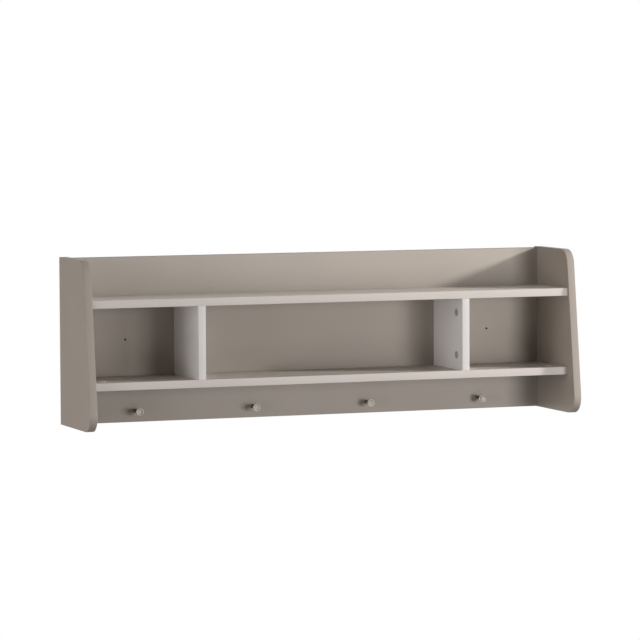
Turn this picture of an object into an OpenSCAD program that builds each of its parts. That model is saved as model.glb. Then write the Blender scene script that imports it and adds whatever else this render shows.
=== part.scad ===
// Wall shelf with an open tray on top, three bays and a rail of four pegs.
// The wall is the plane y = 0, the front faces -Y, +Z is up, and the origin lies
// on the wall midway between the two wall screw holes. All sizes are millimetres.

/* [Boards] */
// Width over the two side panels
shelf_w = 1200; // [1000:10:1400]
// Thickness of every board
board_t = 18; // [16:1:22]
// Thickness of the edge strips glued to the boards
strip_t = 1; // [0.5:0.1:2]

/* [Side panels] */
// Depth of a side panel where its slanted front line meets its top line
side_top_d = 186; // [160:1:220]
// Depth of a side panel where its slanted front line meets its bottom line
side_bottom_d = 235; // [225:1:280]
// Radius of the rounded front corners of a side panel
corner_r = 38; // [10:1:60]
// Height of a side panel's top above the back panel
side_rise = 2; // [0:0.5:10]
// Depth of a side panel's bottom below the back panel
side_drop = 1; // [0:0.5:10]

/* [Shelves and bays] */
// Distance from the wall to the front edges of the shelves and dividers
shelf_front_d = 192; // [170:1:200]
// Height of the open tray, from the upper shelf to the top of the back panel
tray_h = 88; // [70:1:120]
// Clear height of the bays between the two shelves
bay_h = 167; // [140:1:220]
// Height of the peg rail, from the bottom of the back panel to the lower shelf
rail_h = 89; // [70:1:120]
// Clear width of each outer bay
outer_bay_w = 250; // [180:5:320]

/* [Wall screw holes] */
// Distance between the two wall screw holes
wall_hole_gap = 900; // [800:10:940]
// Height of the wall screw holes above the bottom of the back panel
wall_hole_h = 190; // [150:1:220]
// Diameter of the wall screw holes
wall_hole_d = 5; // [4:0.5:8]

/* [Pegs] */
// Distance between neighbouring pegs
peg_gap = 284; // [240:2:300]
// Height of the pegs above the bottom of the back panel
peg_h = 26; // [20:1:50]
// Length of a peg in front of the back panel
peg_len = 32; // [25:1:45]
// Diameter of a peg's head
peg_head_d = 18; // [16:0.5:24]
// Diameter of a peg's stem
peg_stem_d = 9.5; // [8:0.5:11]
// Thickness of a peg's head at its rim
peg_rim_t = 3; // [2:0.5:6]
// Radius of the flare from a peg's stem to its head
peg_flare_r = 8; // [7:0.5:12]
// Radius of the rounded edge round a peg's face
peg_edge_r = 1; // [0.5:0.25:1.5]
// Depth of the dish in a peg's face
peg_dish_h = 1.4; // [0.5:0.1:2]

/* [Cam connectors] */
// Diameter of a cam
cam_d = 15; // [14:0.5:18]
// Distance from the end of a board to the middle of its cam
cam_reach = 34; // [30:1:40]
// Distance from the front of a shelf or divider to its cams
cam_set = 35; // [30:1:60]
// Distance from the ends of the back panel's height to its cams
back_cam_set = 60; // [50:1:66]
// Width across the flats of a cam's hexagon socket
cam_key = 4; // [3:0.5:5]
// Depth of a cam's hexagon socket
cam_key_h = 3.5; // [2:0.5:4]
// Thickness of a cam below its pocket
cam_floor = 0.8; // [0.5:0.1:1.5]
// Turn of a cam's track from open to locked, in degrees
cam_turn = 115; // [90:5:150]
// Diameter of a cam bolt's shaft
bolt_d = 7; // [6:0.5:7.5]
// Diameter of a cam bolt's neck
bolt_neck_d = 3.4; // [3:0.1:4]
// Diameter of a cam bolt's head
bolt_head_d = 6.4; // [5.5:0.1:7]
// Length of a cam bolt's head
bolt_head_h = 4; // [3:0.5:5]
// Diameter of a cam bolt's screwed end
bolt_thread_d = 5; // [4:0.5:6]
// Length of a cam bolt's screwed end
bolt_thread_h = 11; // [8:1:12]
// Diameter of the bore for a cam bolt's shaft
bolt_bore_d = 8; // [8:0.5:9]

/* [Cam caps] */
// Diameter of a cam cap
cap_d = 17.5; // [16.5:0.5:22]
// Thickness of a cam cap
cap_t = 1.2; // [1:0.1:2]
// Length of the pin that holds a cam cap in the cam's socket
cap_pin_h = 2.5; // [1:0.5:3]

/* [Wooden dowels] */
// Diameter of a dowel
dowel_d = 8; // [6:1:10]
// Length of a dowel
dowel_len = 30; // [25:1:40]
// Part of a dowel that sits in the face of a board
dowel_in = 10; // [8:1:12]
// Distance from the back panel to the dowels of the shelves and dividers
dowel_set = 40; // [25:1:60]
// Distance from the ends of the back panel's height to its dowels
back_dowel_set = 140; // [130:1:160]
// Bevel at the ends of a dowel
dowel_bevel = 1; // [0.5:0.1:1.5]

/* [Screws] */
// Diameter of the screws
screw_d = 4; // [3.5:0.5:5]
// Diameter of the countersunk screw heads
screw_head_d = 8; // [7:0.5:10]
// Depth of a screw in the rear edge of a shelf or divider
screw_in = 32; // [20:1:40]
// Depth of a screw in a peg's stem
peg_screw_in = 14; // [8:1:18]
// Depth of the cross recess in a screw head
recess_h = 1.4; // [1:0.1:1.6]
// Width of the slots of the cross recess
recess_t = 0.9; // [0.6:0.1:1.2]
// Clearance round pins, cams, dowels and screws in their bores
fit_gap = 0.1; // [0.05:0.05:0.2]

/* [Hidden] */
$fn = 64;
// Sides of the circles that round the corners of the side panels
corner_fn = 160;
// How far a cutting shape runs past the face that it opens
past = 1;

// Clear width between the side panels
inner_w = shelf_w - 2 * board_t;
// Height of the back panel and of the side panels
back_h = rail_h + board_t + bay_h + board_t + tray_h;
side_h = side_drop + back_h + side_rise;
// Levels of the boards
back_z = -wall_hole_h;
side_z = back_z - side_drop;
lower_z = back_z + rail_h;
bay_z = lower_z + board_t;
upper_z = bay_z + bay_h;
// Depth of the shelves and dividers in front of the back panel
shelf_d = shelf_front_d - board_t;
// Middle of the right divider, and of the right outer bay
divider_x = inner_w / 2 - outer_bay_w - board_t / 2;
outer_bay_x = inner_w / 2 - outer_bay_w / 2;
// Middle of half of the centre bay
half_bay_x = (divider_x - board_t / 2) / 2;
// Distances from the wall to the cams and dowels of the shelves and dividers
cam_y = shelf_front_d - cam_set;
dowel_y = board_t + dowel_set;
// Places of the pegs and of the wall screw holes
peg_z = back_z + peg_h;
peg_places = [-1.5 * peg_gap, -0.5 * peg_gap, 0.5 * peg_gap, 1.5 * peg_gap];
wall_hole_places = [-wall_hole_gap / 2, wall_hole_gap / 2];
// Places of the screws along a shelf
shelf_screw_places = [-outer_bay_x, -half_bay_x, half_bay_x, outer_bay_x];
// Distance of the cam's floor behind the axis of its bolt, and height of the cam
cam_tail = bolt_head_d / 2 + fit_gap + cam_floor;
cam_h = board_t / 2 + cam_tail;
// Length of a screw head's cone, with sides at 45 degrees
screw_cone_h = (screw_head_d - screw_d) / 2;

// Colours, as they look in even light
taupe = [0.63, 0.58, 0.54];
beige = [0.82, 0.78, 0.74];
pale_grey = [0.85, 0.84, 0.83];
grey_plastic = [0.55, 0.53, 0.51];
nickel = [0.68, 0.66, 0.61];
zinc = [0.74, 0.74, 0.72];
beech = [0.80, 0.65, 0.47];

// Outline of a side panel, with depth along X and height along Y.
// inset draws back its top, front and bottom, and leaves the wall side alone.
module side_outline(inset) {
    slant = atan((side_bottom_d - side_top_d) / side_h);
    r = corner_r - inset;
    out = [cos(slant), sin(slant)];
    low_y = corner_r;
    high_y = side_h - corner_r;
    low_x = side_bottom_d - low_y * tan(slant) - corner_r / cos(slant);
    high_x = side_bottom_d - high_y * tan(slant) - corner_r / cos(slant);
    union() {
        polygon([
            [0, inset],
            [low_x, inset],
            [low_x + r * out[0], low_y + r * out[1]],
            [high_x + r * out[0], high_y + r * out[1]],
            [high_x, side_h - inset],
            [0, side_h - inset]
        ]);
        translate([low_x, low_y]) circle(r, $fn = corner_fn);
        translate([high_x, high_y]) circle(r, $fn = corner_fn);
    }
}

// Stands a side outline up as a plate at the left end of the shelf
module side_plate() {
    translate([-(inner_w + board_t) / 2, 0, side_z])
        rotate([90, 0, -90]) linear_extrude(board_t, center = true) children();
}

// Places for joints. Each joint frame has its origin on the plane where two boards
// meet, its +X into the board that is met face on, its -X into the board that is met
// end on, and its +Z towards the face that the cam is turned from.
module both_ends() {
    for (side = [0, 1]) mirror([side, 0, 0]) translate([inner_w / 2, 0, 0]) children();
}
module upper_shelf_ends(y) {
    both_ends() translate([0, -y, upper_z + board_t / 2]) mirror([0, 0, 1]) children();
}
module lower_shelf_ends(y) {
    both_ends() translate([0, -y, lower_z + board_t / 2]) children();
}
module back_panel_ends(edge_gap) {
    for (z = [back_z + edge_gap, back_z + back_h - edge_gap])
        both_ends() translate([0, -board_t / 2, z]) rotate([-90, 0, 0]) children();
}
module divider_low_ends(y) {
    for (side = [0, 1]) mirror([side, 0, 0])
        translate([-divider_x, -y, bay_z]) rotate([0, 90, 0]) children();
}
module divider_high_ends(y) {
    for (side = [0, 1]) mirror([side, 0, 0])
        translate([-divider_x, -y, upper_z]) mirror([0, 0, 1]) rotate([0, 90, 0]) children();
}
module divider_ends(y) {
    divider_low_ends(y) children();
    divider_high_ends(y) children();
}

// Places for screws driven from the wall side, with +Z into the boards
module screws_at(places, z) {
    for (x = places) translate([x, 0, z]) rotate([90, 0, 0]) children();
}
module shelf_screws_at() {
    for (z = [lower_z, upper_z]) screws_at(shelf_screw_places, z + board_t / 2) children();
}
module divider_screws_at() {
    screws_at([-divider_x, divider_x], bay_z + bay_h / 2) children();
}

// Bores of a cam connector and of a dowel, in the joint frame
module cam_bores() {
    translate([-cam_reach, 0, -cam_tail]) cylinder(cam_h + past, d = cam_d);
    translate([-cam_reach, 0, 0]) rotate([0, 90, 0]) cylinder(cam_reach + past, d = bolt_bore_d);
}
module bolt_bore() {
    translate([-past, 0, 0]) rotate([0, 90, 0])
        cylinder(bolt_thread_h + past, d = bolt_thread_d);
}
module dowel_bore() {
    translate([dowel_in - dowel_len, 0, 0]) rotate([0, 90, 0])
        cylinder(dowel_len, d = dowel_d);
}

// Bores for screws, from the wall side
module screw_hole(depth) {
    cylinder(depth, d = screw_d);
    cylinder(screw_cone_h, d1 = screw_head_d, d2 = screw_d);
}
module open_screw_hole(depth) {
    screw_hole(depth);
    translate([0, 0, -past]) cylinder(past, d = screw_head_d);
}

// A cam, turned to its locked place, with the track that its bolt's head runs in
module cam() {
    pocket_r = bolt_head_d / 2 + fit_gap;
    translate([-cam_reach, 0, 0]) difference() {
        translate([0, 0, -cam_tail]) cylinder(cam_h, d = cam_d - 2 * fit_gap);
        translate([0, 0, board_t / 2 - cam_key_h])
            cylinder(cam_key_h + past, d = cam_key / cos(30), $fn = 6);
        cylinder(2 * pocket_r, r = pocket_r, center = true);
        rotate([0, 0, cam_turn]) rotate([0, 90, 0]) cylinder(cam_d, r = pocket_r);
        rotate([0, 90, 0]) cylinder(cam_d, d = bolt_neck_d + 2 * fit_gap);
        rotate_extrude(angle = cam_turn)
            translate([0, -bolt_neck_d / 2 - fit_gap])
            square([cam_d, bolt_neck_d + 2 * fit_gap]);
    }
}

// A cam bolt, with its shoulder against the face of the board it is screwed into
module bolt() {
    neck_x = cam_reach - bolt_head_h / 2;
    shaft_x = cam_reach - cam_d / 2 - fit_gap;
    edge = bolt_head_h / 8;
    rotate([0, -90, 0]) rotate_extrude() polygon([
        [0, fit_gap - bolt_thread_h],
        [bolt_thread_d / 2 - 2 * fit_gap, fit_gap - bolt_thread_h],
        [bolt_thread_d / 2 - fit_gap, 2 * fit_gap - bolt_thread_h],
        [bolt_thread_d / 2 - fit_gap, 0],
        [bolt_d / 2, 0],
        [bolt_d / 2, shaft_x],
        [bolt_neck_d / 2, shaft_x],
        [bolt_neck_d / 2, neck_x],
        [bolt_head_d / 2 - edge, neck_x],
        [bolt_head_d / 2, neck_x + edge],
        [bolt_head_d / 2, neck_x + bolt_head_h - edge],
        [bolt_head_d / 2 - edge, neck_x + bolt_head_h],
        [0, neck_x + bolt_head_h]
    ]);
}

// A cam cap, a disc with a rounded rim and a pin for the cam's socket
module cap() {
    translate([-cam_reach, 0, board_t / 2]) rotate_extrude() {
        difference() {
            square([cap_d / 2, cap_t]);
            translate([cap_d / 2 - cap_t / 2, cap_t / 2]) square(cap_t);
        }
        translate([cap_d / 2 - cap_t / 2, cap_t / 2]) circle(cap_t / 2);
        translate([0, -cap_pin_h]) square([cam_key / 2 - fit_gap, cap_pin_h]);
    }
}

// A wooden dowel with bevelled ends
module dowel() {
    r = dowel_d / 2 - fit_gap;
    len = dowel_len - 2 * fit_gap;
    translate([dowel_in - fit_gap, 0, 0]) rotate([0, -90, 0]) rotate_extrude() polygon([
        [0, 0],
        [r - dowel_bevel, 0],
        [r, dowel_bevel],
        [r, len - dowel_bevel],
        [r - dowel_bevel, len],
        [0, len]
    ]);
}

// A countersunk screw with a cross recess, its head flush with the wall side
module screw(depth) {
    difference() {
        union() {
            cylinder(depth - fit_gap, d = screw_d - 2 * fit_gap);
            cylinder(
                screw_cone_h,
                d1 = screw_head_d - 2 * fit_gap,
                d2 = screw_d - 2 * fit_gap
            );
        }
        for (turn = [0, 90]) rotate([0, 0, turn])
            cube([screw_head_d / 2, recess_t, 2 * recess_h], center = true);
    }
}

// A turned peg, standing on the front of the back panel
module peg(x) {
    rim_z = peg_len - peg_rim_t;
    stem_r = peg_stem_d / 2;
    head_r = peg_head_d / 2;
    flare_x = stem_r + peg_flare_r;
    flare_z = rim_z - sqrt(peg_flare_r * peg_flare_r - pow(flare_x - head_r, 2));
    face_r = head_r - peg_edge_r;
    dish_r = (face_r * face_r + peg_dish_h * peg_dish_h) / (2 * peg_dish_h);
    translate([x, -board_t, peg_z]) rotate([90, 0, 0]) rotate_extrude($fn = 96) difference() {
        union() {
            square([head_r, peg_len - peg_edge_r]);
            square([face_r, peg_len]);
            translate([face_r, peg_len - peg_edge_r]) circle(peg_edge_r);
        }
        translate([stem_r, -past]) square([head_r, flare_z + past]);
        translate([flare_x, flare_z]) circle(peg_flare_r, $fn = 128);
        translate([0, peg_len - peg_dish_h + dish_r]) circle(dish_r, $fn = 256);
        translate([0, -past]) square([screw_d / 2, peg_screw_in + past]);
    }
}

module side_panel_left() {
    color(taupe) difference() {
        side_plate() side_outline(strip_t);
        upper_shelf_ends(cam_y) bolt_bore();
        lower_shelf_ends(cam_y) bolt_bore();
        upper_shelf_ends(dowel_y) dowel_bore();
        lower_shelf_ends(dowel_y) dowel_bore();
        back_panel_ends(back_cam_set) bolt_bore();
        back_panel_ends(back_dowel_set) dowel_bore();
    }
}
module side_panel_right() {
    mirror([1, 0, 0]) side_panel_left();
}

// The strip runs along the top, round both front corners and along the bottom
module side_strip_left() {
    color(taupe) side_plate() difference() {
        side_outline(0);
        side_outline(strip_t);
        translate([-past, strip_t]) square([side_top_d / 2, side_h - 2 * strip_t]);
    }
}
module side_strip_right() {
    mirror([1, 0, 0]) side_strip_left();
}

module back_panel() {
    color(taupe) difference() {
        translate([-inner_w / 2, -board_t, back_z + strip_t])
            cube([inner_w, board_t, back_h - 2 * strip_t]);
        screws_at(wall_hole_places, 0) translate([0, 0, -past])
            cylinder(board_t + 2 * past, d = wall_hole_d);
        back_panel_ends(back_cam_set) cam_bores();
        back_panel_ends(back_dowel_set) dowel_bore();
        shelf_screws_at() open_screw_hole(board_t + past);
        divider_screws_at() open_screw_hole(board_t + past);
        screws_at(peg_places, peg_z) open_screw_hole(board_t + past);
    }
}
module back_strip(z) {
    color(taupe) translate([-inner_w / 2, -board_t, z]) cube([inner_w, board_t, strip_t]);
}
module back_strip_top() {
    back_strip(back_z + back_h - strip_t);
}
module back_strip_bottom() {
    back_strip(back_z);
}

// Shelf board behind its edge strip
module shelf_board(z) {
    translate([-inner_w / 2, strip_t - shelf_front_d, z])
        cube([inner_w, shelf_d - strip_t, board_t]);
}
module shelf_strip(z) {
    color(beige) translate([-inner_w / 2, -shelf_front_d, z]) cube([inner_w, strip_t, board_t]);
}
module upper_shelf() {
    color(taupe) difference() {
        shelf_board(upper_z);
        upper_shelf_ends(cam_y) cam_bores();
        upper_shelf_ends(dowel_y) dowel_bore();
        divider_high_ends(cam_y) bolt_bore();
        divider_high_ends(dowel_y) dowel_bore();
        shelf_screws_at() screw_hole(board_t + screw_in);
    }
}
module upper_shelf_strip() {
    shelf_strip(upper_z);
}
module lower_shelf() {
    color(taupe) difference() {
        shelf_board(lower_z);
        lower_shelf_ends(cam_y) cam_bores();
        lower_shelf_ends(dowel_y) dowel_bore();
        divider_low_ends(cam_y) bolt_bore();
        divider_low_ends(dowel_y) dowel_bore();
        shelf_screws_at() screw_hole(board_t + screw_in);
    }
}
module lower_shelf_strip() {
    shelf_strip(lower_z);
}

module divider_left() {
    color(pale_grey) difference() {
        translate([-divider_x - board_t / 2, strip_t - shelf_front_d, bay_z])
            cube([board_t, shelf_d - strip_t, bay_h]);
        divider_ends(cam_y) cam_bores();
        divider_ends(dowel_y) dowel_bore();
        divider_screws_at() screw_hole(board_t + screw_in);
    }
}
module divider_right() {
    mirror([1, 0, 0]) divider_left();
}
module divider_strip_left() {
    color(pale_grey) translate([-divider_x - board_t / 2, -shelf_front_d, bay_z])
        cube([board_t, strip_t, bay_h]);
}
module divider_strip_right() {
    mirror([1, 0, 0]) divider_strip_left();
}

module peg_1() {
    color(nickel) peg(peg_places[0]);
}
module peg_2() {
    color(nickel) peg(peg_places[1]);
}
module peg_3() {
    color(nickel) peg(peg_places[2]);
}
module peg_4() {
    color(nickel) peg(peg_places[3]);
}
module peg_screws() {
    color(zinc) screws_at(peg_places, peg_z) screw(board_t + peg_screw_in);
}

module upper_shelf_cams() {
    color(zinc) upper_shelf_ends(cam_y) cam();
}
module lower_shelf_cams() {
    color(zinc) lower_shelf_ends(cam_y) cam();
}
module divider_cams() {
    color(zinc) divider_ends(cam_y) cam();
}
module back_panel_cams() {
    color(zinc) back_panel_ends(back_cam_set) cam();
}
module upper_shelf_bolts() {
    color(zinc) upper_shelf_ends(cam_y) bolt();
}
module lower_shelf_bolts() {
    color(zinc) lower_shelf_ends(cam_y) bolt();
}
module divider_bolts() {
    color(zinc) divider_ends(cam_y) bolt();
}
module back_panel_bolts() {
    color(zinc) back_panel_ends(back_cam_set) bolt();
}
module upper_shelf_caps() {
    color(grey_plastic) upper_shelf_ends(cam_y) cap();
}
module lower_shelf_caps() {
    color(grey_plastic) lower_shelf_ends(cam_y) cap();
}
module divider_caps() {
    color(grey_plastic) divider_ends(cam_y) cap();
}

module shelf_dowels() {
    color(beech) {
        upper_shelf_ends(dowel_y) dowel();
        lower_shelf_ends(dowel_y) dowel();
    }
}
module divider_dowels() {
    color(beech) divider_ends(dowel_y) dowel();
}
module back_panel_dowels() {
    color(beech) back_panel_ends(back_dowel_set) dowel();
}
module shelf_screws() {
    color(zinc) shelf_screws_at() screw(board_t + screw_in);
}
module divider_screws() {
    color(zinc) divider_screws_at() screw(board_t + screw_in);
}

side_panel_left();
side_panel_right();
side_strip_left();
side_strip_right();
back_panel();
back_strip_top();
back_strip_bottom();
upper_shelf();
upper_shelf_strip();
lower_shelf();
lower_shelf_strip();
divider_left();
divider_right();
divider_strip_left();
divider_strip_right();
peg_1();
peg_2();
peg_3();
peg_4();
peg_screws();
upper_shelf_cams();
lower_shelf_cams();
divider_cams();
back_panel_cams();
upper_shelf_bolts();
lower_shelf_bolts();
divider_bolts();
back_panel_bolts();
upper_shelf_caps();
lower_shelf_caps();
divider_caps();
shelf_dowels();
divider_dowels();
back_panel_dowels();
shelf_screws();
divider_screws();
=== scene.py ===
# Looks of the wall shelf. Boards, screws, cams, bolts and dowels are the frame's own nodes with
# procedural materials. Edge strips, pegs and cam caps are meshes made here, which replace their nodes.
import math

import bpy
from mathutils import Matrix, Vector

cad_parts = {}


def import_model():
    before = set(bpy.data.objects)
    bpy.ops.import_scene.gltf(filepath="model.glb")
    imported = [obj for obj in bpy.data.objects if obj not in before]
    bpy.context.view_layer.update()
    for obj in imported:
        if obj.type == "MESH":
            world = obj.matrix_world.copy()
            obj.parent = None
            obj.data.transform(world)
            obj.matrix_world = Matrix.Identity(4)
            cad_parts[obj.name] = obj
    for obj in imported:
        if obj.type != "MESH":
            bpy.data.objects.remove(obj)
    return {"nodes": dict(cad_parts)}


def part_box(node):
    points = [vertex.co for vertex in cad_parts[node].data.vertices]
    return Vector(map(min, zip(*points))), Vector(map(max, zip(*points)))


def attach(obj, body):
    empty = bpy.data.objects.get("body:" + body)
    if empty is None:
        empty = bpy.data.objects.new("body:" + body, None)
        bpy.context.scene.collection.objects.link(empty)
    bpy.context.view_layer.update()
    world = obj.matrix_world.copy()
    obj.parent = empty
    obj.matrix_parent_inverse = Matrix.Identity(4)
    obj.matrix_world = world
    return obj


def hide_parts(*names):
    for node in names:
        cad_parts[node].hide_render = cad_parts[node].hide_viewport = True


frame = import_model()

SCENE = bpy.context.scene
CAD_NODES = frame["nodes"]
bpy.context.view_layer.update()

# Sizes in metres of the edge strips and of a side panel's front line
STRIP_T = 0.001
STRIP_EDGE_R = 0.0007
SIDE_TOP_D = 0.186
SIDE_BOTTOM_D = 0.235
CORNER_R = 0.038

# Sizes in metres of a peg
PEG_STEM_R = 0.00475
PEG_RIM_T = 0.003
PEG_FLARE_R = 0.008
PEG_EDGE_R = 0.001
PEG_DISH_H = 0.0014
PEG_FOOT_BEVEL = 0.0004
# Width of the ring of painted highlight inside the rounded edge of a peg's face
PEG_HIGHLIGHT_W = 0.0008

# Sizes in metres of a cam cap
CAP_PIN_R = 0.0019
CAP_PIN_H = 0.0025
CAP_RIM_H = 0.0007
CAP_RIM_R = 0.0004
CAP_SHOULDER_R = 0.0003

# A distance in metres that is too small to see
TINY = 0.0001

# Turns in degrees: of the rounded edges of a peg and a cap, and the least turn that shades as sharp
PEG_EDGE_TURN = 115.0
CAP_SHOULDER_TURN = 70.0
SHARP_TURN = 35.0

# Counts of segments round a peg, round a cap and along the arcs
PEG_STEPS = 96
CAP_STEPS = 64
CORNER_STEPS = 28
FLARE_STEPS = 12
DISH_STEPS = 10
DOME_STEPS = 8
EDGE_STEPS = 4

# Camera, fitted to the edges of the shelf in the photograph: place and reach in metres, turns in
# degrees, lens and sensor in millimetres
CAMERA_PLACE = Vector((-2.8910, -7.7724, 0.5965))
CAMERA_AZIMUTH = -20.62
CAMERA_ELEVATION = 3.90
CAMERA_ROLL = -0.26
CAMERA_LENS = 199.92
CAMERA_SENSOR = 36.0
CAMERA_REACH = 100.0

# Colours, as sRGB values
BOARD = (0.658, 0.623, 0.589)
SIDE_BOARD = (0.658, 0.613, 0.572)
# BOARD made lighter for the shelves: painted light for the brighter shelf tops
SHELF_BOARD_PAINTED_LIGHT = (0.688, 0.652, 0.617)
BOARD_EDGE = (0.605, 0.566, 0.532)
LIGHT_EDGE = (0.757, 0.723, 0.70)
PALE_GREY = (0.908, 0.895, 0.882)
PALE_EDGE = (0.795, 0.78, 0.768)
CHIPBOARD = (0.72, 0.60, 0.46)
NICKEL = (0.53, 0.513, 0.475)
# A lighter copy of NICKEL for the ring round a peg's face: a painted highlight
NICKEL_RIM_HIGHLIGHT = (0.61, 0.592, 0.555)
CAP_GREY = (0.63, 0.615, 0.595)
# A lighter copy of CAP_GREY for the lower shelf's caps: painted light on caps that are otherwise alike
CAP_PALE_PAINTED_LIGHT = (0.80, 0.785, 0.77)
ZINC = (0.74, 0.74, 0.72)
BEECH = (0.80, 0.65, 0.47)
FLOOR = (0.94, 0.94, 0.94)
FLOOR_BOUNCE = (0.42, 0.42, 0.42)

# Specular levels: matt sides, satin back panel and strips, glossier shelves and dividers, and the rest
SIDE_GLOSS = 0.01
BACK_GLOSS = 0.05
BAND_GLOSS = 0.05
SHELF_GLOSS = 0.5
PLAIN_GLOSS = 0.5

# Roughness of the metals and of the chipboard core
ZINC_ROUGHNESS = 0.62
NICKEL_ROUGHNESS = 0.55
RIM_ROUGHNESS = 0.38
CORE_ROUGHNESS = 0.85

# Scales per metre of the fine marks on the metals
ZINC_GRAIN = 1500.0
NICKEL_GRAIN = 2500.0

# Depths in metres of the fine relief of plastic, of melamine and metal, and of wood
PLASTIC_RELIEF = 0.00001
FINE_RELIEF = 0.00002
WOOD_RELIEF = 0.00005

# Level of the floor, and how far it reaches from the shelf to each side, to the front and to the back
FLOOR_Z = -1.60
FLOOR_SIDE = 9.0
FLOOR_FRONT = 14.0
FLOOR_BACK = 3.2

# Share of the floor's look that doesn't depend on the lamps, and the level of the world's grey light
FLOOR_GLOW = 0.75
WORLD_LEVEL = 0.01

# Lamps: name, azimuth to the right of the front, elevation, distance, width, height and power in watts
LAMPS = (
    ("key", 68.0, 18.0, 3.2, 0.25, 0.25, 95.0),
    ("front_softbox", 18.0, 3.0, 6.0, 1.6, 1.3, 98.0),
    ("near_softbox", 30.0, -5.0, 2.0, 0.4, 0.4, 8.0),
    ("low_fill", 0.0, -20.0, 3.0, 0.9, 0.6, 5.0),
    ("left_fill", -75.0, 5.0, 4.0, 1.6, 1.2, 36.0),
    ("left_softbox", -58.0, -3.0, 3.0, 1.2, 1.2, 13.0),
    ("upper_fill", -15.0, 55.0, 4.0, 1.6, 1.2, 19.0),
    ("top_fill", 180.0, 60.0, 4.0, 2.5, 2.5, 33.0),
    ("left_side_fill", -112.0, -8.0, 4.0, 1.6, 1.0, 21.0),
    ("back_fill", 176.0, -8.0, 6.0, 1.4, 1.0, 200.0),
)


def linear(colour, factor=1.0):
    """An sRGB colour, made darker or lighter by a factor, as the linear RGBA that sockets hold."""
    def one(c):
        c = min(1.0, c * factor)
        return c / 12.92 if c <= 0.04045 else ((c + 0.055) / 1.055) ** 2.4
    return tuple(one(c) for c in colour) + (1.0,)


class NodeTree:
    """A node tree that starts empty, with short ways to add nodes and join them."""

    def __init__(self, tree):
        self.tree = tree
        self.tree.nodes.clear()

    def add(self, kind, **settings):
        """A new node of a kind, with its settings."""
        node = self.tree.nodes.new(kind)
        for key, value in settings.items():
            setattr(node, key, value)
        return node

    def join(self, source, target):
        """Links an output to an input."""
        self.tree.links.new(source, target)

    def combine(self, operation, first, second):
        """A number worked out from two numbers or sockets."""
        node = self.add("ShaderNodeMath", operation=operation)
        for socket, value in zip(node.inputs, (first, second)):
            if isinstance(value, float):
                socket.default_value = value
            else:
                self.join(value, socket)
        return node.outputs[0]

    def mix_shaders(self, factor, first, second):
        """A shader between two shaders."""
        node = self.add("ShaderNodeMixShader")
        for socket, source in zip(node.inputs, (factor, first, second)):
            self.join(source, socket)
        return node.outputs[0]

    def seen(self):
        """1 for rays from the camera, off a mirror or through glass, and 0 for rays that gather light."""
        path = self.add("ShaderNodeLightPath").outputs
        mirrored = self.combine("MAXIMUM", path["Is Glossy Ray"], path["Is Transmission Ray"])
        return self.combine("MAXIMUM", path["Is Camera Ray"], mirrored)


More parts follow.
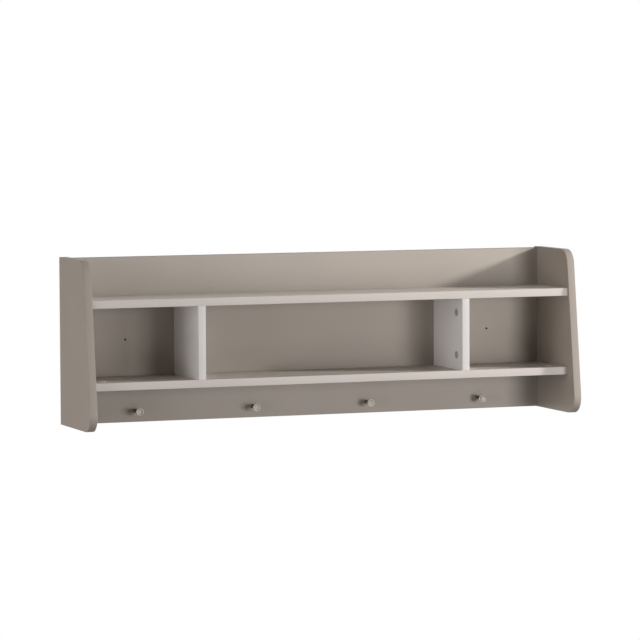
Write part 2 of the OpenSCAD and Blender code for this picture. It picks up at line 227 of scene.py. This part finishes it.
class Shader(NodeTree):
    """A material of one Principled shader, with patterns that lie fixed on the object."""

    def __init__(self, name, gloss=PLAIN_GLOSS, metallic=0.0):
        self.material = bpy.data.materials.new(name)
        self.material.use_nodes = True
        super().__init__(self.material.node_tree)
        self.surface = self.add("ShaderNodeBsdfPrincipled")
        self.surface.inputs["Metallic"].default_value = metallic
        self.surface.inputs["Specular IOR Level"].default_value = gloss
        self.output = self.add("ShaderNodeOutputMaterial")
        self.join(self.surface.outputs[0], self.output.inputs["Surface"])
        self.place = self.add("ShaderNodeTexCoord").outputs["Object"]

    def noise(self, scale, detail=2.0, roughness=0.5, stretch=(1.0, 1.0, 1.0)):
        """Noise of a scale per metre, with its pattern scaled further along each axis."""
        stretched = self.add("ShaderNodeMapping")
        self.join(self.place, stretched.inputs["Vector"])
        stretched.inputs["Scale"].default_value = stretch
        node = self.add("ShaderNodeTexNoise")
        self.join(stretched.outputs["Vector"], node.inputs["Vector"])
        node.inputs["Scale"].default_value = scale
        node.inputs["Detail"].default_value = detail
        node.inputs["Roughness"].default_value = roughness
        return node.outputs["Fac"]

    def cells(self, scale):
        """A random number for each cell of a pattern of a scale per metre."""
        node = self.add("ShaderNodeTexVoronoi")
        self.join(self.place, node.inputs["Vector"])
        node.inputs["Scale"].default_value = scale
        split = self.add("ShaderNodeSeparateColor")
        self.join(node.outputs["Color"], split.inputs[0])
        return split.outputs[0]

    def faces_along(self, axis):
        """1 on faces that lie square to an axis, and 0 on the others."""
        normal = self.add("ShaderNodeSeparateXYZ")
        self.join(self.add("ShaderNodeNewGeometry").outputs["True Normal"], normal.inputs[0])
        across = self.combine("ABSOLUTE", normal.outputs[axis], 0.0)
        return self.combine("GREATER_THAN", across, 0.5)

    def spread(self, factor, low, high, in_low=0.3, in_high=0.7):
        """A factor spread over the range from low to high."""
        node = self.add("ShaderNodeMapRange")
        self.join(factor, node.inputs["Value"])
        ends = {"From Min": in_low, "From Max": in_high, "To Min": low, "To Max": high}
        for key, value in ends.items():
            node.inputs[key].default_value = value
        return node.outputs["Result"]

    def mix_numbers(self, factor, first, second):
        """One number where a factor is 0, and another where it is 1."""
        rest = self.combine("SUBTRACT", first, self.combine("MULTIPLY", factor, first))
        return self.combine("ADD", rest, self.combine("MULTIPLY", factor, second))

    def mix_colours(self, factor, first, second):
        """A colour between two colours or colour sockets."""
        node = self.add("ShaderNodeMix", data_type="RGBA")
        self.join(factor, node.inputs["Factor"])
        for key, value in (("A", first), ("B", second)):
            socket = [s for s in node.inputs if s.name == key and s.type == "RGBA"][0]
            if isinstance(value, tuple):
                socket.default_value = value
            else:
                self.join(value, socket)
        return [s for s in node.outputs if s.type == "RGBA"][0]

    def tones(self, factor, colour, darker, lighter):
        """A colour that wanders between a darker and a lighter tone."""
        return self.mix_colours(
            self.spread(factor, low=0.0, high=1.0), linear(colour, darker), linear(colour, lighter)
        )

    def colour(self, socket):
        """Gives the surface its colour."""
        self.join(socket, self.surface.inputs["Base Color"])

    def roughness(self, socket):
        """Gives the surface its roughness."""
        self.join(socket, self.surface.inputs["Roughness"])

    def bump(self, height, depth):
        """Gives the surface a relief, with its depth in metres."""
        node = self.add("ShaderNodeBump")
        self.join(height, node.inputs["Height"])
        node.inputs["Distance"].default_value = depth
        self.join(node.outputs["Normal"], self.surface.inputs["Normal"])


def melamine(name, colour, thin_axis, gloss):
    """Satin melamine on the faces of a board, with chipboard at its edges and in its holes."""
    shader = Shader(name, gloss)
    clouds = shader.tones(shader.noise(scale=4.0), colour, darker=0.985, lighter=1.015)
    specks = shader.spread(shader.noise(scale=700.0), low=0.0, high=0.35)
    film = shader.mix_colours(specks, clouds, linear(colour, factor=0.96))
    chips = shader.cells(scale=420.0)
    core = shader.mix_colours(chips, linear(CHIPBOARD, factor=0.72), linear(CHIPBOARD, factor=1.08))
    on_film = shader.faces_along(thin_axis)
    shader.colour(shader.mix_colours(on_film, core, film))
    film_roughness = shader.spread(shader.noise(scale=90.0, detail=3.0), low=0.42, high=0.50)
    shader.roughness(shader.mix_numbers(on_film, CORE_ROUGHNESS, film_roughness))
    coarse = shader.combine("MULTIPLY", shader.noise(scale=220.0), 0.5)
    shader.bump(shader.combine("ADD", shader.noise(scale=1600.0), coarse), FINE_RELIEF)
    return shader.material


def edge_band(name, colour, run):
    """Plastic edge strip, with faint drawn lines along its run."""
    shader = Shader(name, BAND_GLOSS)
    drawn = tuple(0.02 if axis == run else 1.0 for axis in "XYZ")
    lines = shader.noise(scale=900.0, stretch=drawn)
    clouds = shader.tones(shader.noise(scale=6.0), colour, darker=0.985, lighter=1.015)
    streaks = shader.spread(lines, low=0.0, high=0.3)
    shader.colour(shader.mix_colours(streaks, clouds, linear(colour, factor=0.95)))
    shader.roughness(shader.spread(lines, low=0.38, high=0.48))
    shader.bump(lines, PLASTIC_RELIEF)
    return shader.material


def satin_metal(name, colour, roughness, grain):
    """Satin metal with fine marks of a given scale per metre, and clouds twelve times as wide."""
    shader = Shader(name, metallic=1.0)
    marks = shader.noise(scale=grain, detail=3.0)
    clouds = shader.noise(scale=grain / 12)
    shader.colour(shader.tones(clouds, colour, darker=0.93, lighter=1.04))
    shader.roughness(shader.spread(marks, low=roughness - 0.06, high=roughness + 0.08))
    shader.bump(marks, FINE_RELIEF)
    return shader.material


def moulded_plastic(name, colour):
    """Smooth plastic with a very fine grain."""
    shader = Shader(name)
    grain = shader.noise(scale=2400.0)
    shader.colour(shader.tones(grain, colour, darker=0.95, lighter=1.04))
    shader.roughness(shader.spread(grain, low=0.26, high=0.34))
    shader.bump(grain, PLASTIC_RELIEF)
    return shader.material


def raw_beech(name, colour):
    """Beech with grain and flecks along X."""
    shader = Shader(name)
    grain = shader.noise(scale=500.0, detail=4.0, roughness=0.6, stretch=(0.08, 1.0, 1.0))
    dots = shader.noise(scale=1800.0, stretch=(0.15, 1.0, 1.0))
    flecks = shader.spread(dots, low=0.0, high=0.5, in_low=0.55, in_high=0.75)
    wood = shader.tones(grain, colour, darker=0.86, lighter=1.06)
    shader.colour(shader.mix_colours(flecks, wood, linear(colour, factor=0.68)))
    shader.roughness(shader.spread(grain, low=0.62, high=0.78))
    shader.bump(grain, WOOD_RELIEF)
    return shader.material


def finish_nodes(material, *names):
    """Gives a material to CAD nodes that stay in view."""
    for name in names:
        node = CAD_NODES[name]
        if not node.data.materials:
            node.data.materials.append(material)
        for slot in node.material_slots:
            slot.link = "OBJECT"
            slot.material = material


def mesh_piece(name, points, faces, material, node):
    """A piece of the shelf made from points and faces, in the place of a CAD node."""
    mesh = bpy.data.meshes.new(name)
    mesh.from_pydata(points, [], faces)
    mesh.validate()
    mesh.shade_smooth()
    mesh.set_sharp_from_angle(angle=math.radians(SHARP_TURN))
    mesh.materials.append(material)
    piece = bpy.data.objects.new(name, mesh)
    SCENE.collection.objects.link(piece)
    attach(piece, "root")
    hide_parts(node)
    return piece


def arc(centre, radius, start, end, steps):
    """Points on an arc in a plane, from one angle to another, in degrees."""
    turns = [math.radians(start + (end - start) * i / steps) for i in range(steps + 1)]
    return [(centre[0] + radius * math.cos(a), centre[1] + radius * math.sin(a)) for a in turns]


def strip_section(width):
    """Section of an edge strip as places across it and depths below its outer face."""
    r = STRIP_EDGE_R
    left = arc((r, r), r, 180, 270, EDGE_STEPS)
    right = arc((width - r, r), r, 270, 360, EDGE_STEPS)
    return [(0.0, STRIP_T)] + left + right + [(width, STRIP_T)]


def strip_piece(stations, width, material, node):
    """An edge strip. Each station is a point on one outer edge, the way across and the way inwards."""
    section = strip_section(width)
    count = len(section)
    points = [start + across * a + inwards * d for start, across, inwards in stations for a, d in section]
    faces = []
    for i in range(len(stations) - 1):
        for k in range(count):
            near = i * count + k
            far = i * count + (k + 1) % count
            faces.append((near, near + count, far + count, far))
    faces.append(tuple(range(count)))
    faces.append(tuple(reversed(range(len(points) - count, len(points)))))
    mesh_piece(node + "_band", points, faces, material, node)


def side_route(low, high):
    """Depths and heights along a side panel's edge, each with the turn that the edge faces there."""
    tilt = math.atan((SIDE_BOTTOM_D - SIDE_TOP_D) / (high.z - low.z))
    slant = math.degrees(tilt)
    def corner(z):
        return (SIDE_BOTTOM_D - (z - low.z) * math.tan(tilt) - CORNER_R / math.cos(tilt), z)
    route = [((0.0, high.z), 90.0)]
    corners = ((corner(high.z - CORNER_R), 90.0, slant), (corner(low.z + CORNER_R), slant, -90.0))
    for centre, start, end in corners:
        for i, (depth, z) in enumerate(arc(centre, CORNER_R, start, end, CORNER_STEPS)):
            route.append(((min(depth, -low.y), z), start + (end - start) * i / CORNER_STEPS))
    route.append(((0.0, low.z), -90.0))
    return route


def side_strip(node, material):
    """The strip of a side panel: along its top, round both front corners and along its bottom."""
    low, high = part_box(node)
    stations = []
    for (depth, z), turn in side_route(low, high):
        angle = math.radians(turn)
        inwards = Vector((0.0, math.cos(angle), -math.sin(angle)))
        stations.append((Vector((low.x, -depth, z)), Vector((1.0, 0.0, 0.0)), inwards))
    strip_piece(stations, high.x - low.x, material, node)


def straight_strip(ends, across, inwards, width, material, node):
    """An edge strip that runs straight between two ends."""
    stations = [(Vector(end), Vector(across), Vector(inwards)) for end in ends]
    strip_piece(stations, width, material, node)


def back_strip(node, upwards, material):
    """A strip on the top or bottom of the back panel."""
    low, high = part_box(node)
    z = high.z if upwards > 0 else low.z
    ends = ((low.x, low.y, z), (high.x, low.y, z))
    width = high.y - low.y
    straight_strip(ends, (0, 1, 0), (0, 0, -upwards), width, material, node)


def shelf_strip(node, material):
    """The strip on the front of a shelf."""
    low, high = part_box(node)
    ends = ((low.x, low.y, low.z), (high.x, low.y, low.z))
    straight_strip(ends, (0, 0, 1), (0, 1, 0), high.z - low.z, material, node)


def divider_strip(node, material):
    """The strip on the front of a divider."""
    low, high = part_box(node)
    ends = ((low.x, low.y, high.z), (low.x, low.y, low.z))
    straight_strip(ends, (1, 0, 0), (0, 1, 0), high.x - low.x, material, node)


def lathe(profile, steps, turn, place, first):
    """Points and faces of a turned body. The profile runs from axis to axis as radius and height."""
    inner = profile[1:-1]
    points = [place + turn @ Vector((0.0, 0.0, profile[0][1]))]
    for r, h in inner:
        for i in range(steps):
            a = 2 * math.pi * i / steps
            points.append(place + turn @ Vector((r * math.cos(a), r * math.sin(a), h)))
    points.append(place + turn @ Vector((0.0, 0.0, profile[-1][1])))
    last = first + len(points) - 1
    faces = []
    for i in range(steps):
        k = (i + 1) % steps
        faces.append((first, first + 1 + k, first + 1 + i))
        for ring in range(len(inner) - 1):
            a = first + 1 + ring * steps
            faces.append((a + i, a + k, a + k + steps, a + i + steps))
        a = last - steps
        faces.append((a + i, a + k, last))
    return points, faces


def peg_profile(head_r, length):
    """Profile of a turned peg, from the foot to the middle of its dished face."""
    rim_h = length - PEG_RIM_T
    flare_x = PEG_STEM_R + PEG_FLARE_R
    rise = math.sqrt(PEG_FLARE_R ** 2 - (flare_x - head_r) ** 2)
    end = math.degrees(math.acos((flare_x - head_r) / PEG_FLARE_R))
    flare = arc((flare_x, rim_h - rise), PEG_FLARE_R, 180.0, 180.0 - end, FLARE_STEPS)
    edge_centre = (head_r - PEG_EDGE_R, length - PEG_EDGE_R)
    edge = arc(edge_centre, PEG_EDGE_R, 0.0, PEG_EDGE_TURN, DISH_STEPS)
    brim_r, brim_h = edge[-1]
    dip = PEG_DISH_H - (length - brim_h)
    dish_r = (brim_r ** 2 + dip ** 2) / (2 * dip)
    turn = math.degrees(math.asin(brim_r / dish_r))
    dish = arc((0.0, brim_h - dip + dish_r), dish_r, turn - 90.0, -90.0, DISH_STEPS)
    foot = [(0.0, 0.0), (PEG_STEM_R - PEG_FOOT_BEVEL, 0.0), (PEG_STEM_R, PEG_FOOT_BEVEL)]
    rim = [(head_r, rim_h + TINY)]
    return foot + flare + rim + edge + dish[1:-1] + [(0.0, brim_h - dip)]


def peg(node, material, highlight_ring_material):
    """A turned peg that points away from the wall, with a ring of lighter nickel round its face: a painted
    highlight.
    """
    low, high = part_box(node)
    foot = Vector(((low.x + high.x) / 2, high.y, (low.z + high.z) / 2))
    head_r = (high.x - low.x) / 2
    length = high.y - low.y
    forwards = Matrix.Rotation(math.radians(90), 3, "X")
    points, faces = lathe(peg_profile(head_r, length), PEG_STEPS, forwards, foot, 0)
    piece = mesh_piece(node + "_turned", points, faces, material, node)
    piece.data.materials.append(highlight_ring_material)
    least_r = head_r - PEG_EDGE_R - PEG_HIGHLIGHT_W
    least_h = length - PEG_EDGE_R - TINY
    # Faces of the ring round the face get the lighter nickel: a painted highlight
    for face in piece.data.polygons:
        reach = [points[i] - foot for i in face.vertices]
        if min(math.hypot(v.x, v.z) for v in reach) > least_r and max(-v.y for v in reach) > least_h:
            face.material_index = 1


def cap_profile(radius, height):
    """Profile of a cam cap: a pin, a disc with a rounded rim and a low dome."""
    rim_x = radius - CAP_RIM_R
    rim = arc((rim_x, CAP_RIM_R), CAP_RIM_R, -90.0, 0.0, EDGE_STEPS)
    shoulder = arc((rim_x, CAP_RIM_H), CAP_SHOULDER_R, 0.0, CAP_SHOULDER_TURN, EDGE_STEPS)
    top_r, top_h = shoulder[-1]
    rise = height - top_h
    dome_r = (top_r ** 2 + rise ** 2) / (2 * rise)
    turn = math.degrees(math.asin(top_r / dome_r))
    dome = arc((0.0, height - dome_r), dome_r, 90.0 - turn, 90.0, DOME_STEPS)
    pin = [(0.0, -CAP_PIN_H), (CAP_PIN_R, -CAP_PIN_H), (CAP_PIN_R, 0.0)]
    return pin + rim + shoulder + dome[1:-1] + [(0.0, height)]


def caps(node, places, cap_r, cap_h, material):
    """Cam caps of a node. Each place is the middle of a cap's flat side and the turn that it faces."""
    points = []
    faces = []
    for place, turn in places:
        more_points, more_faces = lathe(cap_profile(cap_r, cap_h), CAP_STEPS, turn, place, len(points))
        points += more_points
        faces += more_faces
    mesh_piece(node + "_discs", points, faces, material, node)


def shelf_caps(node, upwards, cap_r, cap_h, material):
    """The caps near both ends of a shelf, on its top or its underside."""
    low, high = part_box(node)
    z = high.z - cap_h if upwards > 0 else low.z + cap_h
    turn = Matrix.Identity(3) if upwards > 0 else Matrix.Rotation(math.pi, 3, "X")
    y = (low.y + high.y) / 2
    places = [(Vector((side * (high.x - cap_r), y, z)), turn) for side in (-1, 1)]
    caps(node, places, cap_r, cap_h, material)


def divider_caps(node, cap_r, cap_h, material):
    """The caps on both dividers, on the faces towards the middle bay."""
    low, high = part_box(node)
    y = (low.y + high.y) / 2
    places = []
    for side in (-1, 1):
        turn = Matrix.Rotation(-side * math.pi / 2, 3, "Y")
        for z in (low.z + cap_r, high.z - cap_r):
            places.append((Vector((side * (high.x - CAP_PIN_H), y, z)), turn))
    caps(node, places, cap_r, cap_h, material)


def dress_boards():
    """Melamine on the seven boards, each with the axis that its faces lie square to."""
    sides = melamine("melamine_sides", SIDE_BOARD, "X", SIDE_GLOSS)
    back = melamine("melamine_back", BOARD, "Y", BACK_GLOSS)
    # The shelves get the lighter copy of the board colour: painted light on their tops
    shelves = melamine("melamine_shelves_painted_light", SHELF_BOARD_PAINTED_LIGHT, "Z", SHELF_GLOSS)
    dividers = melamine("melamine_dividers", PALE_GREY, "X", SHELF_GLOSS)
    finish_nodes(sides, "side_panel_left", "side_panel_right")
    finish_nodes(back, "back_panel")
    finish_nodes(shelves, "upper_shelf", "lower_shelf")
    finish_nodes(dividers, "divider_left", "divider_right")


def dress_hardware():
    """Zinc on the screws, cams and bolts, and raw beech on the dowels."""
    zinc = satin_metal("zinc_plate", ZINC, ZINC_ROUGHNESS, ZINC_GRAIN)
    beech = raw_beech("beech", BEECH)
    finish_nodes(zinc, "peg_screws", "shelf_screws", "divider_screws")
    finish_nodes(zinc, "upper_shelf_cams", "lower_shelf_cams", "divider_cams", "back_panel_cams")
    finish_nodes(zinc, "upper_shelf_bolts", "lower_shelf_bolts", "divider_bolts", "back_panel_bolts")
    finish_nodes(beech, "shelf_dowels", "divider_dowels", "back_panel_dowels")


def dress_strips():
    """The eight edge strips, each with the axis that its drawn lines run along."""
    side_band = edge_band("side_band", BOARD_EDGE, "Y")
    back_band = edge_band("back_band", BOARD_EDGE, "X")
    shelf_band = edge_band("shelf_band", LIGHT_EDGE, "X")
    divider_band = edge_band("divider_band", PALE_EDGE, "Z")
    side_strip("side_strip_left", side_band)
    side_strip("side_strip_right", side_band)
    back_strip("back_strip_top", 1, back_band)
    back_strip("back_strip_bottom", -1, back_band)
    shelf_strip("upper_shelf_strip", shelf_band)
    shelf_strip("lower_shelf_strip", shelf_band)
    divider_strip("divider_strip_left", divider_band)
    divider_strip("divider_strip_right", divider_band)


def dress_pegs():
    """The four pegs of satin nickel, each with a ring of lighter nickel round its face as a painted
    highlight.
    """
    nickel = satin_metal("satin_nickel", NICKEL, NICKEL_ROUGHNESS, NICKEL_GRAIN)
    rim = satin_metal("nickel_rim_painted_highlight", NICKEL_RIM_HIGHLIGHT, RIM_ROUGHNESS, NICKEL_GRAIN)
    for node in ("peg_1", "peg_2", "peg_3", "peg_4"):
        peg(node, nickel, rim)


def dress_caps():
    """The cam caps, all of one size: radius from the dividers' caps, and height from the lower shelf's."""
    plastic = moulded_plastic("cap_plastic", CAP_GREY)
    painted_light_plastic = moulded_plastic("cap_plastic_painted_light", CAP_PALE_PAINTED_LIGHT)
    low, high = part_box("divider_caps")
    cap_r = (high.y - low.y) / 2
    low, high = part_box("lower_shelf_caps")
    cap_h = high.z - low.z - CAP_PIN_H
    shelf_caps("upper_shelf_caps", -1, cap_r, cap_h, plastic)
    # The lower shelf's caps get the lighter copy of the cap plastic: painted light
    shelf_caps("lower_shelf_caps", 1, cap_r, cap_h, painted_light_plastic)
    divider_caps("divider_caps", cap_r, cap_h, plastic)


def floor_material():
    """Pale where the camera or a mirror ray sees it, also away from the lamps, but a darker light source."""
    shader = Shader("floor")
    pale = shader.tones(shader.noise(scale=1.5), FLOOR, darker=0.99, lighter=1.01)
    seen = shader.seen()
    shader.colour(shader.mix_colours(seen, linear(FLOOR_BOUNCE), pale))
    shader.roughness(shader.spread(shader.noise(scale=40.0, detail=3.0), low=0.72, high=0.85))
    glow = shader.add("ShaderNodeEmission")
    shader.join(pale, glow.inputs["Color"])
    share = shader.combine("MULTIPLY", seen, FLOOR_GLOW)
    look = shader.mix_shaders(share, shader.surface.outputs[0], glow.outputs[0])
    shader.join(look, shader.output.inputs["Surface"])
    return shader.material


def floor():
    """A plain pale floor, well below the shelf, which ends before the photograph's view reaches it."""
    mesh = bpy.data.meshes.new("floor")
    corners = [
        (-FLOOR_SIDE, -FLOOR_FRONT, FLOOR_Z), (FLOOR_SIDE, -FLOOR_FRONT, FLOOR_Z),
        (FLOOR_SIDE, FLOOR_BACK, FLOOR_Z), (-FLOOR_SIDE, FLOOR_BACK, FLOOR_Z)
    ]
    mesh.from_pydata(corners, [], [(0, 1, 2, 3)])
    mesh.materials.append(floor_material())
    plane = bpy.data.objects.new("floor", mesh)
    SCENE.collection.objects.link(plane)


def direction(azimuth, elevation):
    """The way from the shelf to an azimuth, to the right of the front, and an elevation, in degrees."""
    a = math.radians(azimuth)
    e = math.radians(elevation)
    return Vector((math.sin(a) * math.cos(e), -math.cos(a) * math.cos(e), math.sin(e)))


def lamp(name, azimuth, elevation, distance, width, height, power):
    """A soft area lamp that points at the middle of the shelf."""
    light = bpy.data.lights.new(name, "AREA")
    light.shape = "RECTANGLE"
    light.size = width
    light.size_y = height
    light.energy = power
    away = direction(azimuth, elevation)
    lamp_object = bpy.data.objects.new(name, light)
    lamp_object.location = away * distance
    lamp_object.rotation_euler = away.to_track_quat("Z", "Y").to_euler()
    SCENE.collection.objects.link(lamp_object)


def world():
    """White where the camera or a mirror ray sees it, and a plain grey level as light."""
    studio_world = bpy.data.worlds.new("studio")
    SCENE.world = studio_world
    studio_world.use_nodes = True
    nodes = NodeTree(studio_world.node_tree)
    def white(strength):
        node = nodes.add("ShaderNodeBackground")
        node.inputs["Color"].default_value = (1.0, 1.0, 1.0, 1.0)
        node.inputs["Strength"].default_value = strength
        return node.outputs[0]
    look = nodes.mix_shaders(nodes.seen(), white(WORLD_LEVEL), white(1.0))
    nodes.join(look, nodes.add("ShaderNodeOutputWorld").inputs["Surface"])


def camera():
    """The camera at the photograph's view."""
    roll = math.radians(CAMERA_ROLL)
    back = direction(CAMERA_AZIMUTH, CAMERA_ELEVATION)
    right = (-back).cross(Vector((0.0, 0.0, 1.0))).normalized()
    up = right.cross(-back)
    rolled_right = right * math.cos(roll) + up * math.sin(roll)
    rolled_up = up * math.cos(roll) - right * math.sin(roll)
    axes = Matrix((rolled_right, rolled_up, back)).transposed().to_4x4()
    lens = bpy.data.cameras.new("camera")
    lens.sensor_width = CAMERA_SENSOR
    lens.lens = CAMERA_LENS
    lens.clip_end = CAMERA_REACH
    camera_object = bpy.data.objects.new("camera", lens)
    camera_object.matrix_world = Matrix.Translation(CAMERA_PLACE) @ axes
    SCENE.collection.objects.link(camera_object)
    SCENE.camera = camera_object


def studio():
    """Floor, lamps, world and camera."""
    floor()
    for settings in LAMPS:
        lamp(*settings)
    world()
    camera()
    SCENE.view_settings.view_transform = "Standard"


dress_boards()
dress_hardware()
dress_strips()
dress_pegs()
dress_caps()
studio()
